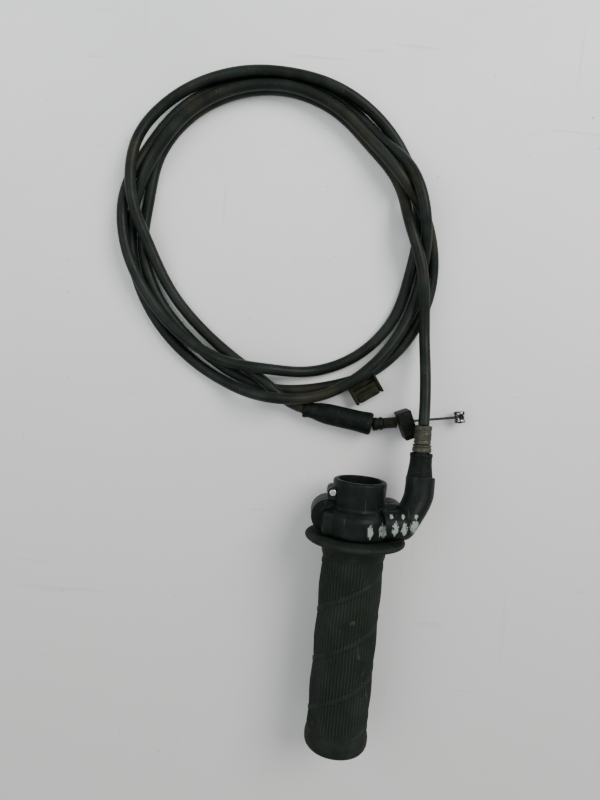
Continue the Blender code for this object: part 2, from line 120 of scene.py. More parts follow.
# White dabs of paint: x, y, half their width and half their height
PAINT_DABS = [
    (5.8, 8.0, 1.9, 4.3), (12.0, 8.2, 2.3, 4.4), (18.4, 10.2, 2.2, 4.4), (23.0, 10.2, 2.1, 4.2),
    (28.2, 11.6, 2.9, 4.4), (16.0, 16.0, 1.2, 1.4), (22.2, 16.2, 1.1, 1.4), (28.8, 16.6, 1.6, 1.6),
]
# The free wire: where it leaves the end sleeve, and its nipple's middle
WIRE_START = (5.0, 58.8, 8.6)
WIRE_END = (53.2, 66.8, 5.6)
NIPPLE_LENGTH = 6.4
CLIP_ANGLE = math.radians(-215)
CLIP_RADIUS = 92.4
BLOCK_TURN = math.radians(24)
DUST = (0.070, 0.068, 0.052)


def world(x, y, z):
    """A point in millimetres above the surface, in the frame's metres."""
    return Vector((BAR.x + x * MM, BAR.y + y * MM, z * MM))


def above_bar(x, y, z):
    """The same, with the height measured from the bar's axis."""
    return BAR + Vector((x, y, z)) * MM


# The camera

def add_camera():
    data = bpy.data.cameras.new("camera")
    data.sensor_width = 36.0
    data.lens = LENS
    data.clip_start = 0.01
    camera = bpy.data.objects.new("camera", data)
    camera.location = world(*CAMERA_AT)
    camera.rotation_euler = [math.radians(angle) for angle in CAMERA_TURN]
    bpy.context.collection.objects.link(camera)
    bpy.context.scene.camera = camera


# Materials

def node(tree, kind, **values):
    made = tree.nodes.new(kind)
    for name, value in values.items():
        if hasattr(made, name):
            setattr(made, name, value)
        else:
            made.inputs[name.replace("_", " ")].default_value = value
    return made


class Finish:
    """A Principled material that reads Object coordinates, built up layer by layer."""

    def __init__(self, name, colour, roughness, metallic=0.0, specular=0.09):
        self.material = bpy.data.materials.new(name)
        self.material.use_nodes = True
        self.tree = self.material.node_tree
        self.shader = self.tree.nodes["Principled BSDF"]
        self.shader.inputs["Metallic"].default_value = metallic
        self.shader.inputs["Roughness"].default_value = roughness
        self.shader.inputs["Specular IOR Level"].default_value = specular
        self.coordinates = self.tree.nodes.new("ShaderNodeTexCoord").outputs["Object"]
        base = self.tree.nodes.new("ShaderNodeRGB")
        base.outputs[0].default_value = (*colour, 1.0)
        self.colour = base.outputs[0]
        self.height = None

    def stretched(self, scale):
        mapping = self.tree.nodes.new("ShaderNodeMapping")
        mapping.inputs["Scale"].default_value = scale
        self.tree.links.new(self.coordinates, mapping.inputs["Vector"])
        return mapping.outputs["Vector"]

    def noise(self, size, detail=4.0, stretch=(1, 1, 1), roughness=0.55, twist=0.0):
        """Noise whose features are about size millimetres across."""
        made = node(self.tree, "ShaderNodeTexNoise", Scale=1.0 / (size * MM), Detail=detail,
                    Roughness=roughness, Distortion=twist)
        self.tree.links.new(self.stretched(stretch), made.inputs["Vector"])
        return made.outputs["Fac"]

    def band(self, value, low, high):
        """0 below low, 1 above high, and smooth between them."""
        made = node(self.tree, "ShaderNodeMapRange", interpolation_type="SMOOTHSTEP")
        made.inputs["From Min"].default_value = low
        made.inputs["From Max"].default_value = high
        self.tree.links.new(value, made.inputs["Value"])
        return made.outputs["Result"]

    def times(self, value, factor):
        made = node(self.tree, "ShaderNodeMath", operation="MULTIPLY")
        self.tree.links.new(value, made.inputs[0])
        if isinstance(factor, float):
            made.inputs[1].default_value = factor
        else:
            self.tree.links.new(factor, made.inputs[1])
        return made.outputs[0]

    def tint(self, mask, colour):
        made = self.tree.nodes.new("ShaderNodeMix")
        made.data_type = "RGBA"
        self.tree.links.new(mask, made.inputs[0])
        self.tree.links.new(self.colour, made.inputs[6])
        made.inputs[7].default_value = (*colour, 1.0)
        self.colour = made.outputs[2]
        return self

    def rough(self, value, low, high):
        made = self.tree.nodes.new("ShaderNodeMapRange")
        made.inputs["To Min"].default_value = low
        made.inputs["To Max"].default_value = high
        self.tree.links.new(value, made.inputs["Value"])
        self.tree.links.new(made.outputs["Result"], self.shader.inputs["Roughness"])
        return self

    def relief(self, value, amount):
        """Adds a height of amount millimetres times value to the bump."""
        raised = self.times(value, float(amount))
        if self.height is None:
            self.height = raised
            return self
        total = node(self.tree, "ShaderNodeMath", operation="ADD")
        self.tree.links.new(self.height, total.inputs[0])
        self.tree.links.new(raised, total.inputs[1])
        self.height = total.outputs[0]
        return self

    def ribbing(self, count):
        """1 along the top of each rib that runs along the grip, and 0 between them: the mask for a
        painted highlight on the rib crests.
        """
        place = self.tree.nodes.new("ShaderNodeSeparateXYZ")
        self.tree.links.new(self.coordinates, place.inputs[0])
        side = node(self.tree, "ShaderNodeMath", operation="SUBTRACT")
        self.tree.links.new(place.outputs["X"], side.inputs[0])
        side.inputs[1].default_value = BAR.x
        rise = node(self.tree, "ShaderNodeMath", operation="SUBTRACT")
        self.tree.links.new(place.outputs["Z"], rise.inputs[0])
        rise.inputs[1].default_value = BAR.z
        angle = node(self.tree, "ShaderNodeMath", operation="ARCTAN2")
        self.tree.links.new(side.outputs[0], angle.inputs[0])
        self.tree.links.new(rise.outputs[0], angle.inputs[1])
        wave = node(self.tree, "ShaderNodeMath", operation="SINE")
        self.tree.links.new(self.times(angle.outputs[0], float(count)), wave.inputs[0])
        crest_highlight = self.band(wave.outputs[0], -0.2, 0.9)
        begun = self.band(place.outputs["Y"], BAR.y - 103 * MM, BAR.y - 101 * MM)
        ended = self.band(place.outputs["Y"], BAR.y - 8 * MM, BAR.y - 11 * MM)
        return self.times(self.times(crest_highlight, begun), ended)

    def done(self):
        self.tree.links.new(self.colour, self.shader.inputs["Base Color"])
        if self.height is not None:
            bump = self.tree.nodes.new("ShaderNodeBump")
            bump.inputs["Strength"].default_value = 1.0
            bump.inputs["Distance"].default_value = MM
            self.tree.links.new(self.height, bump.inputs["Height"])
            self.tree.links.new(bump.outputs["Normal"], self.shader.inputs["Normal"])
        return self.material


def worn_plastic(name):
    """Satin black plastic: grey scuffs, fine scratches and dust in patches."""
    finish = Finish(name, (0.0048, 0.0072, 0.0056), 0.42)
    cloud = finish.noise(9, 6)
    finish.tint(finish.times(finish.band(cloud, 0.42, 0.68), 0.6), (0.0125, 0.0170, 0.0150))
    scratch = finish.noise(1.6, 3, (1.0, 0.12, 0.5), twist=0.6)
    finish.tint(finish.times(finish.band(scratch, 0.61, 0.72), 0.5), (0.040, 0.043, 0.037))
    finish.tint(finish.times(finish.band(finish.noise(0.9, 3), 0.68, 0.78), 0.35), DUST)
    finish.rough(finish.noise(4, 4), 0.28, 0.58)
    finish.relief(finish.noise(0.7, 3), 0.035).relief(scratch, 0.05).relief(cloud, 0.12)
    return finish


def moulded_black():
    return worn_plastic("moulded_black").done()


def painted_black():
    """The moulded black with some rough dabs of old white paint beside the elbow."""
    finish = worn_plastic("painted_black")
    ragged = finish.noise(1.5, 5, (1.6, 0.8, 1.0), twist=0.8)
    for x, y, width, height in PAINT_DABS:
        place = above_bar(x, y, 0)
        shift = node(finish.tree, "ShaderNodeVectorMath", operation="SUBTRACT")
        finish.tree.links.new(finish.coordinates, shift.inputs[0])
        shift.inputs[1].default_value = (place.x, place.y, 0)
        flat = node(finish.tree, "ShaderNodeVectorMath", operation="MULTIPLY")
        finish.tree.links.new(shift.outputs[0], flat.inputs[0])
        flat.inputs[1].default_value = (1 / (width * MM), 1 / (height * MM), 0)
        length = node(finish.tree, "ShaderNodeVectorMath", operation="LENGTH")
        finish.tree.links.new(flat.outputs[0], length.inputs[0])
        near = node(finish.tree, "ShaderNodeMath", operation="SUBTRACT")
        near.inputs[0].default_value = 1.7
        finish.tree.links.new(length.outputs["Value"], near.inputs[1])
        patch = finish.times(near.outputs[0], ragged)
        finish.tint(finish.times(finish.band(patch, 0.42, 0.60), 0.8), (0.30, 0.33, 0.30))
    return finish.done()


def grip_black():
    """Matt rubber, greyed by use, with olive dirt held between the ribs and a painted highlight on
    the rib crests.
    """
    finish = Finish("grip_black", (0.0056, 0.0088, 0.0060), 0.7, specular=0.14)
    wear = finish.noise(14, 5, (1, 0.6, 1))
    finish.tint(finish.times(finish.band(wear, 0.42, 0.66), 0.7), (0.0140, 0.0185, 0.0150))
    # Painted highlight: the rib crests are lightened where light would catch them.
    crest_highlight = finish.times(finish.ribbing(RIBS), finish.band(finish.noise(11, 3), 0.3, 0.6))
    finish.tint(finish.times(crest_highlight, 0.45), (0.0200, 0.0265, 0.0210))
    dirt = finish.noise(8, 6, (1, 0.4, 1), twist=0.5)
    finish.tint(finish.times(finish.band(dirt, 0.50, 0.72), 0.7), (0.0105, 0.0120, 0.0040))
    scratch = finish.noise(3.2, 2, (0.5, 0.14, 1.0), twist=1.4)
    finish.tint(finish.times(finish.band(scratch, 0.70, 0.74), 0.4), (0.075, 0.078, 0.066))
    finish.tint(finish.times(finish.band(finish.noise(1.3, 2), 0.68, 0.74), 0.5), DUST)
    finish.rough(finish.noise(5, 3), 0.5, 0.85)
    finish.relief(finish.noise(0.5, 4), 0.04).relief(finish.noise(3, 3), 0.05)
    return finish.done()


def sleeve_black():
    finish = Finish("sleeve_black", (0.0035, 0.0055, 0.0042), 0.5)
    bloom = finish.noise(6, 5)
    finish.tint(finish.times(finish.band(bloom, 0.45, 0.7), 0.6), (0.0120, 0.0155, 0.0125))
    finish.tint(finish.times(finish.band(finish.noise(1.2, 2), 0.67, 0.73), 0.5), DUST)
    finish.rough(bloom, 0.4, 0.7)
    finish.relief(finish.noise(0.6, 4), 0.05)
    return finish.done()


def cable_black():
    """A slightly glossy jacket with rubbed, dusty and brownish stretches."""
    finish = Finish("cable_black", (0.0060, 0.0090, 0.0064), 0.42, specular=0.13)
    rubbed = finish.noise(22, 4)
    finish.tint(finish.times(finish.band(rubbed, 0.44, 0.64), 0.8), (0.0150, 0.0200, 0.0165))
    brown = finish.noise(34, 3)
    finish.tint(finish.times(finish.band(brown, 0.54, 0.68), 0.6), (0.0270, 0.0235, 0.0130))
    finish.tint(finish.times(finish.band(finish.noise(1.4, 3), 0.64, 0.72), 0.4), DUST)
    finish.rough(finish.noise(8, 4), 0.3, 0.55)
    finish.relief(finish.noise(1.5, 4), 0.05)
    return finish.done()


def clip_brown():
    finish = Finish("clip_brown", (0.0060, 0.0075, 0.0026), 0.5, specular=0.12)
    mottle = finish.noise(3, 5)
    finish.tint(finish.times(finish.band(mottle, 0.42, 0.65), 0.8), (0.0165, 0.0170, 0.0062))
    speck = finish.noise(1, 3)
    finish.tint(finish.times(finish.band(speck, 0.62, 0.7), 0.6), (0.0050, 0.0055, 0.0030))
    finish.rough(mottle, 0.4, 0.7)
    finish.relief(finish.noise(0.6, 4), 0.06)
    return finish.done()


def sliding_white():
    finish = Finish("sliding_white", (0.50, 0.49, 0.44), 0.45)
    stain = finish.noise(8, 5)
    finish.tint(finish.times(finish.band(stain, 0.45, 0.7), 0.6), (0.27, 0.25, 0.20))
    finish.rough(stain, 0.35, 0.6)
    finish.relief(finish.noise(1, 3), 0.02)
    return finish.done()


def dull_metal():
    """Plated steel gone grey-brown, with bright rubs."""
    finish = Finish("dull_metal", (0.066, 0.066, 0.050), 0.5, 0.75)
    mottle = finish.noise(2.5, 6)
    finish.tint(finish.times(finish.band(mottle, 0.4, 0.65), 0.7), (0.034, 0.035, 0.026))
    rubs_and_glints = finish.noise(1.0, 3)
    finish.tint(finish.times(finish.band(rubs_and_glints, 0.6, 0.7), 0.6), (0.150, 0.150, 0.122))
    finish.rough(mottle, 0.38, 0.68)
    finish.relief(finish.noise(0.5, 4), 0.05)
    return finish.done()


def bright_metal():
    finish = Finish("bright_metal", (0.62, 0.62, 0.60), 0.25, 1.0)
    stain = finish.noise(1.5, 4)
    finish.tint(finish.times(finish.band(stain, 0.5, 0.7), 0.5), (0.22, 0.22, 0.20))
    finish.rough(stain, 0.12, 0.35)
    finish.relief(finish.noise(0.4, 3), 0.015)
    return finish.done()


def painted_reflection_metal():
    """The nipple's plating: the very dark metal is a painted dark reflection, and the bright
    patches on it are painted highlights.
    """
    # Painted reflection: the very dark base stands in for dark surroundings mirrored in the chrome.
    finish = Finish("painted_reflection_metal", (0.030, 0.030, 0.027), 0.25, 1.0)
    rubs_and_glints = finish.noise(2.2, 2, twist=0.4)
    # Painted highlights: bright patches on the dark metal.
    finish.tint(finish.times(finish.band(rubs_and_glints, 0.53, 0.61), 0.9), (0.55, 0.55, 0.53))
    finish.rough(rubs_and_glints, 0.35, 0.15)
    finish.relief(finish.noise(0.5, 3), 0.02)
    return finish.done()


def strand_metal():
    """The twisted strands of the inner wire."""
    finish = Finish("strand_metal", (0.045, 0.045, 0.041), 0.4, 0.9)
    lay = node(finish.tree, "ShaderNodeTexWave", Scale=900.0, Distortion=0.4)
    lay.bands_direction = "DIAGONAL"
    finish.tree.links.new(finish.coordinates, lay.inputs["Vector"])
    finish.tint(finish.times(finish.band(lay.outputs["Fac"], 0.0, 0.4), 0.4), (0.018, 0.018, 0.015))
    finish.rough(finish.noise(1, 3), 0.3, 0.55)
    finish.relief(lay.outputs["Fac"], 0.08)
    return finish.done()


def block_black():
    finish = Finish("block_black", (0.0045, 0.0058, 0.0040), 0.5)
    mottle = finish.noise(3, 5)
    finish.tint(finish.times(finish.band(mottle, 0.45, 0.68), 0.7), (0.0155, 0.0170, 0.0120))
    finish.tint(finish.times(finish.band(finish.noise(1.1, 3), 0.64, 0.7), 0.6), DUST)
    finish.rough(mottle, 0.38, 0.68)
    finish.relief(finish.noise(0.7, 4), 0.06)
    return finish.done()


def bench_top():
    """The pale surface that the part lies on: brighter at the far side, a painted falloff of the
    light, with faint scratches.
    """
    finish = Finish("bench_top", (0.565, 0.56, 0.54), 0.5)
    far = finish.tree.nodes.new("ShaderNodeSeparateXYZ")
    finish.tree.links.new(finish.coordinates, far.inputs[0])
    # Painted light: the surface colour lightens towards the far side, as a falloff of the light.
    finish.tint(finish.band(far.outputs["Y"], -0.15, 0.42), (0.93, 0.935, 0.925))
    cloud = finish.noise(120, 4)
    finish.tint(finish.times(finish.band(cloud, 0.35, 0.7), 0.22), (0.60, 0.605, 0.615))
    scratch = finish.noise(16, 2, (1.0, 0.05, 1.0), twist=1.2)
    finish.tint(finish.times(finish.band(scratch, 0.72, 0.75), 0.25), (0.50, 0.49, 0.48))
    speck = finish.noise(2.6, 1)
    finish.tint(finish.times(finish.band(speck, 0.77, 0.80), 0.6), (0.27, 0.26, 0.23))
    hair = finish.noise(9, 1, (0.10, 1.0, 1.0), twist=1.6)
    finish.tint(finish.times(finish.band(hair, 0.74, 0.76), 0.22), (0.42, 0.41, 0.40))
    finish.relief(scratch, 0.02)
    return finish.done()


# Modelling helpers

def select_only(*objects):
    if bpy.context.mode != "OBJECT":
        bpy.ops.object.mode_set(mode="OBJECT")
    bpy.ops.object.select_all(action="DESELECT")
    for thing in objects:
        thing.select_set(True)
    bpy.context.view_layer.objects.active = objects[0]


def smooth(piece, angle=40):
    select_only(piece)
    bpy.ops.object.shade_smooth_by_angle(angle=math.radians(angle))


def apply_modifier(piece, kind, **values):
    change = piece.modifiers.new(kind.lower(), kind)
    for name, value in values.items():
        setattr(change, name, value)
    select_only(piece)
    bpy.ops.object.modifier_apply(modifier=change.name)


def finished(piece, material, slot, body, *replaced):
    piece.data.materials.clear()
    piece.data.materials.append(material)
    if replaced:
        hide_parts(*replaced)
    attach(piece, body)
    return piece


def outline_object(name, points, closed):
    mesh = bpy.data.meshes.new(name)
    edges = [(index, index + 1) for index in range(len(points) - 1)]
    if closed:
        edges.append((len(points) - 1, 0))
    mesh.from_pydata(points, edges, [])
    made = bpy.data.objects.new(name, mesh)
    bpy.context.collection.objects.link(made)
    return made


def lathe(name, profile, start, direction, steps=96, angle=40):
    """Spins a profile of (radius, distance) round an axis. One that starts on the axis is open."""
    along = Vector(direction).normalized()
    turn = Vector((0, 0, 1)).rotation_difference(along).to_matrix()
    points = [start + turn @ Vector((radius, 0, distance)) * MM for radius, distance in profile]
    made = outline_object(name, points, closed=profile[0][0] > 0)
    select_only(made)
    bpy.ops.object.mode_set(mode="EDIT")
    bpy.ops.mesh.select_all(action="SELECT")
    bpy.ops.mesh.spin(steps=steps, angle=math.tau, center=start, axis=along)
    bpy.ops.mesh.select_all(action="SELECT")
    bpy.ops.mesh.remove_doubles(threshold=1e-6)
    bpy.ops.mesh.normals_make_consistent(inside=False)
    bpy.ops.object.mode_set(mode="OBJECT")
    smooth(made, angle)
    return made


def rounded(profile, reach=0.5, steps=3):
    """The same profile with its inner corners rounded by short curves."""
    found = [profile[0]]
    for before, corner, after in zip(profile, profile[1:], profile[2:]):
        corner_at = Vector(corner)
        back, on = Vector(before) - corner_at, Vector(after) - corner_at
        size = min(reach, back.length * 0.45, on.length * 0.45)
        first, last = corner_at + back.normalized() * size, corner_at + on.normalized() * size
        for step in range(steps + 1):
            t = step / steps
            spot = first * (1 - t) ** 2 + corner_at * 2 * t * (1 - t) + last * t**2
            found.append(tuple(spot))
    found.append(profile[-1])
    return found


def cad_copy(name, source):
    """A merged copy of a CAD node's mesh."""
    made = bpy.data.objects.new(name, frame["nodes"][source].data.copy())
    bpy.context.collection.objects.link(made)
    select_only(made)
    bpy.ops.object.mode_set(mode="EDIT")
    bpy.ops.mesh.select_all(action="SELECT")
    bpy.ops.mesh.remove_doubles(threshold=2e-6)
    bpy.ops.object.mode_set(mode="OBJECT")
    return made


def softened(piece, voxel, passes, extra=()):
    """Joins pieces into one body with every edge rounded, as a moulding's are."""
    if extra:
        select_only(piece, *extra)
        bpy.ops.object.join()
    apply_modifier(piece, "REMESH", mode="VOXEL", voxel_size=voxel * MM, adaptivity=0.0)
    apply_modifier(piece, "SMOOTH", factor=0.5, iterations=passes)
    select_only(piece)
    bpy.ops.object.shade_smooth()
    return piece


def added_block(name, centre, size, turn=0.0, bevel=0.4):
    """A box with bevelled edges, turned about the vertical."""
    bpy.ops.object.select_all(action="DESELECT")
    bpy.ops.mesh.primitive_cube_add(size=1.0, location=centre, rotation=(0, 0, turn),
                                    scale=[length * MM for length in size])
    made = bpy.context.object
    made.name = name
    bpy.ops.object.transform_apply(location=True, rotation=True, scale=True)
    apply_modifier(made, "BEVEL", width=bevel * MM, segments=2)
    return made


def added_rod(name, start, end, radius, sides=32):
    direction = end - start
    bpy.ops.object.select_all(action="DESELECT")
    bpy.ops.mesh.primitive_cylinder_add(
        vertices=sides, radius=radius * MM, depth=direction.length, location=(start + end) / 2,
        rotation=Vector((0, 0, 1)).rotation_difference(direction).to_euler())
    made = bpy.context.object
    made.name = name
    bpy.ops.object.transform_apply(location=True, rotation=True, scale=True)
    return made


def cut(piece, cutter):
    apply_modifier(piece, "BOOLEAN", operation="DIFFERENCE", solver="EXACT", object=cutter)
    bpy.data.objects.remove(cutter, do_unlink=True)


# The cable

def smooth_points(points, steps):
    """Points of a Catmull-Rom curve through the given ones."""
    ends = [2 * points[0] - points[1], *points, 2 * points[-1] - points[-2]]
    found = []
    for a, b, c, d in zip(ends, ends[1:], ends[2:], ends[3:]):
        for step in range(steps):
            t = step / steps
            found.append(0.5 * (2 * b + (c - a) * t + (2 * a - 5 * b + 4 * c - d) * t**2
                                + (3 * b - a - 3 * c + d) * t**3))
    found.append(points[-1].copy())
    return found


def evenly(points, step):
    """Points at equal steps along a broken line."""
    found = [points[0].copy()]
    left = step
    for first, second in zip(points, points[1:]):
        length = (second - first).length
        done = 0.0
        while length - done >= left:
            done += left
            found.append(first.lerp(second, done / length))
            left = step
        left -= length - done
    found.append(points[-1].copy())
    return found


def loop_point(angle, radius, height):
    return world(LOOP[0] + radius * math.sin(angle), LOOP[1] + radius * math.cos(angle), height)


def cable_line():
    """A smooth line through the route, never lower than a cable lying on the surface."""
    route = [world(*place) for place in CABLE_HEAD]
    for turn, stations in enumerate(CABLE_TURNS):
        for index, (radius, height) in enumerate(stations):
            angle = FIRST_STATION - STATION * (index + turn * len(CABLE_TURNS[0]))
            route.append(loop_point(angle, radius, height))
    route += [world(*place) for place in CABLE_TAIL]
    line = evenly(smooth_points(route, ROUTE_STEPS), CABLE_STEP * MM)
    for _ in range(SMOOTHING_PASSES):
        for point in line:
            point.z = max(point.z, CABLE_R * MM)
        line = [line[0], *((a + 2 * b + c) / 4 for a, b, c in zip(line, line[1:], line[2:])),
                line[-1]]
    return line


def cable(line, material):
    curve = bpy.data.curves.new("cable", "CURVE")
    curve.dimensions = "3D"
    curve.bevel_depth = CABLE_R * MM
    curve.bevel_resolution = 5
    curve.use_fill_caps = True
    spline = curve.splines.new("POLY")
    spline.points.add(len(line) - 1)
    for spot, point in zip(spline.points, line):
        spot.co = (*point, 1.0)
    made = bpy.data.objects.new("cable", curve)
    bpy.context.collection.objects.link(made)
    return finished(made, material, "cable_vinyl", "housing", "cable_jacket")


def cable_clip(material):
    """The moulded clip: a saddle under the strand, with a thin ear at each end."""
    body = cad_copy("clip", "cable_clip")
    middle = loop_point(CLIP_ANGLE, CLIP_RADIUS, 0)
    outward = (middle - world(*LOOP, 0)).normalized()
    turn = math.atan2(outward.y, outward.x)
    along = Vector((-outward.y, outward.x, 0))

    def moulded(name, sideways, out, rise, size, bevel):
        centre = middle + along * sideways * MM + outward * out * MM + Vector((0, 0, rise * MM))
        return added_block(name, centre, size, turn, bevel)

    softened(body, CLIP_VOXEL, 4, (
        moulded("clip_ear_near", -7.6, 3.4, 4.1, (11.6, 1.6, 8.2), 0.5),
        moulded("clip_ear_far", 7.6, 3.4, 4.1, (11.6, 1.6, 8.2), 0.5),
        moulded("clip_latch", 0.0, 6.4, 4.2, (5.4, 12.6, 7.6), 1.0),
        moulded("clip_hook", -7.6, -5.6, 2.6, (4.6, 2.2, 5.2), 0.5),
        moulded("clip_foot", -7.2, -2.0, 0.7, (10.0, 2.0, 1.4), 0.3),
    ))
    return finished(body, material, "brown_plastic", "housing", "cable_clip")


# The grip

def grip_profile():
    """The grip's outer line as (y, radius, how far the ribs show), from the flange outwards."""
    line = [
        (1.6, 25.0, 0), (1.35, 25.6, 0), (0.7, 26.2, 0), (0.0, FLANGE_R, 0), (-0.7, 26.2, 0),
        (-1.25, 25.6, 0), (-1.5, 24.8, 0), (-1.75, 22.4, 0), (-2.1, 20.2, 0), (-2.9, 18.5, 0),
        (-4.2, 17.5, 0), (-6.0, 17.0, 0), (-8.2, 16.8, 0), (-9.2, 16.5, 0.3), (-10.0, GRIP_R, 1),
    ]
    first, last = RIBBED
    for row in range(1, RIBBED_ROWS):
        line.append((first + (last - first) * row / RIBBED_ROWS, GRIP_R, 1))
    line += [
        (-102.0, GRIP_R, 0.9), (-102.8, GRIP_R, 0.3), (-103.6, 16.1, 0), (-104.6, 16.3, 0),
        (-105.8, 16.8, 0), (-107.2, 17.0, 0), (-109.0, 17.05, 0), (-110.6, 16.9, 0),
        (-111.8, 16.5, 0), (-112.8, 15.8, 0), (-113.5, 14.6, 0), (-113.9, 13.0, 0),
        (GRIP_END, 11.0, 0), (GRIP_END, 7.0, 0), (-113.9, 3.6, 0), (-113.4, 3.0, 0),
    ]
    inner = [(-110.8, 3.0), (-110.8, TUBE_R), (-60, TUBE_R), (-10, TUBE_R), (1.5, TUBE_R),
             (1.6, 13.4), (1.6, 20.0)]
    return line + [(y, radius, 0) for y, radius in inner]


def grip_relief(angle, y):
    """How far the rubber stands off its round shape: fine ribs crossed by a smooth spiral band."""
    turns = ((y - SPIRAL_START) / SPIRAL_PITCH - SPIRAL_STARTS * angle / math.tau + 0.5) % 1.0
    from_band = abs(turns - 0.5) * SPIRAL_PITCH
    band = max(0.0, 1.0 - (from_band / BAND_HALF) ** 4)
    edge = math.exp(-((from_band - BAND_EDGE) / 0.4) ** 2)
    rib = 0.5 + 0.5 * math.tanh(2.2 * math.sin(angle * RIBS)) / math.tanh(2.2)
    pad = 0.28 * math.cos(math.tau * turns)
    return (1 - band) * (0.42 * rib - 0.28 + pad) + band * 0.16 - 0.20 * edge


def grip(material):
    """A sleeve of rings, each ring's radius taken from the profile and the relief."""
    profile = grip_profile()
    sides = RIBS * SIDES_PER_RIB
    points = []
    for y, radius, share in profile:
        for step in range(sides):
            angle = math.tau * step / sides
            size = radius + (share * grip_relief(angle, y) if share else 0.0)
            points.append(above_bar(size * math.sin(angle), y, size * math.cos(angle)))
    faces = []
    for ring in range(len(profile)):
        onward = (ring + 1) % len(profile)
        for step in range(sides):
            after = (step + 1) % sides
            faces.append((ring * sides + step, ring * sides + after, onward * sides + after,
                          onward * sides + step))
    mesh = bpy.data.meshes.new("grip")
    mesh.from_pydata(points, [], faces)
    made = bpy.data.objects.new("grip", mesh)
    bpy.context.collection.objects.link(made)
    select_only(made)
    bpy.ops.object.mode_set(mode="EDIT")
    bpy.ops.mesh.select_all(action="SELECT")
    bpy.ops.mesh.normals_make_consistent(inside=False)
    bpy.ops.object.mode_set(mode="OBJECT")
    smooth(made, 60)
    return finished(made, material, "grip_rubber", "grip", "grip_rubber")


# The housing

def collar_ring(name, side):
    """Half of the thick lip round the collar's mouth, above the split or below it."""
    profile = [(11.9, 17), (13.4, 17), (13.9, 20), (14.1, 27.5), (14.1, 30.1), (13.3, 30.9),
               (12.0, 30.9)]
    ring = lathe(name, profile, above_bar(0, 0, 0), (0, 1, 0))
    half = added_block(name + "_half", above_bar(0, 24, side * -15.2), (40, 30, 30), 0.0, 0.1)
    cut(ring, half)
    return ring


def slim_elbow(piece):
    """Draws the elbow's outer corner in, so that its back runs in a slant and not a square."""
    start = above_bar(ELBOW_FROM, 0, 0).x
    for vertex in piece.data.vertices:
        if vertex.co.x > start:
            y = (vertex.co.y - BAR.y) / MM
            share = min(1.0, max(0.0, (y - 6.0) / 21.0))
            keep = ELBOW_SLIMMEST + (1 - ELBOW_SLIMMEST) * share**2 * (3 - 2 * share)
            vertex.co.x = start + (vertex.co.x - start) * keep


def housing_top(material):
    """The upper half, its ears and elbow run together, with a pit and a step moulded in."""
    half = cad_copy("housing_top", "housing_upper")
    flank = added_block("flank", above_bar(-14.6, 8.6, 6.0), (7.6, 12.6, 11.6), 0.0, 1.6)
    lug = added_rod("upper_lug", above_bar(*CLAMP_AT, SPLIT_GAP), above_bar(*CLAMP_AT, 5.8),
                    LUG_R)
    softened(half, HOUSING_VOXEL, 6, (flank, lug, collar_ring("upper_ring", 1)))
    slim_elbow(half)
    room = [(0, -8), (13.0, -8), (13.0, 3.4), (15.9, 3.4), (15.9, 14.9), (0, 14.9)]
    cut(half, lathe("drum_room", room, above_bar(0, 0, 0), (0, 1, 0)))
    bore = [(0, 2.5), (BORE_R, 2.5), (BORE_R, 40), (0, 40)]
    cut(half, lathe("bar_bore", bore, above_bar(0, 0, 0), (0, 1, 0)))
    pit = added_rod("pit", above_bar(-11.0, 16.0, 13.2), above_bar(-12.6, 16.6, 22), 1.3, 24)
    cut(half, pit)
    select_only(half)
    bpy.ops.object.shade_smooth_by_angle(angle=math.radians(50))
    return finished(half, material, "black_plastic", "housing", "housing_upper")


def housing_base(material):
    """The lower half, with its share of the lug and of the collar's lip."""
    half = cad_copy("housing_base", "housing_lower")
    lug = added_rod("lower_lug", above_bar(*CLAMP_AT, -7.0), above_bar(*CLAMP_AT, -SPLIT_GAP),
                    LUG_R)
    softened(half, HOUSING_VOXEL, 5, (lug, collar_ring("lower_ring", -1)))
    slim_elbow(half)
    return finished(half, material, "black_plastic", "housing", "housing_lower")


def housing_fasteners(dull, bright):
    for name in ("screw_left", "screw_right"):
        shape = cad_copy(name + "_head", name)
        apply_modifier(shape, "BEVEL", width=0.15 * MM, segments=2, angle_limit=math.radians(35))
        smooth(shape)
        finished(shape, dull, "dull_steel", "housing", name)
    low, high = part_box("clamp_screw")
    tip = (high.z - low.z) / MM
    profile = rounded([(0, 0), (2.2, 0), (2.2, 2.7), (1.4, 2.7), (1.4, tip - 1.0),
                       (1.7, tip - 0.9), (1.7, tip), (0, tip)], 0.3)
    place = above_bar(*CLAMP_AT, 0)
    place.z = low.z
    end = lathe("clamp_bolt", profile, place, (0, 0, 1), 40)
    finished(end, bright, "bright_steel", "housing", "clamp_screw")


# The cable guide

def guide_axis():
    """The line of the ferrule, from the middle of the band to the middle of the ferrule."""
    band = sum(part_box("pipe_band"), Vector()) / 2
    ferrule = sum(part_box("pipe_ferrule"), Vector()) / 2
    return band, (ferrule - band).normalized()


def guide_metal(material):
    band, along = guide_axis()
    ring = rounded([(3.3, -1.9), (4.9, -1.9), (5.05, -1.2), (5.05, 0.2), (4.6, 0.5), (4.6, 0.9),
                    (5.0, 1.2), (5.0, 1.9), (3.3, 1.9)], 0.25)
    piece = lathe("pipe_band_ring", ring, band, along)
    finished(piece, material, "dull_steel", "housing", "pipe_band")
    sleeve = [(3.3, 2.3), (4.45, 2.3)]
    for groove in (4.2, 8.6, 9.4):
        sleeve += [(4.5, groove - 0.5), (4.2, groove), (4.5, groove + 0.5)]
    sleeve += [(4.5, 11.4), (4.35, 12.0), (3.5, 12.05), (3.2, 11.8)]
    piece = lathe("pipe_ferrule_sleeve", rounded(sleeve, 0.3), band, along)
    finished(piece, material, "dull_steel", "housing", "pipe_ferrule")


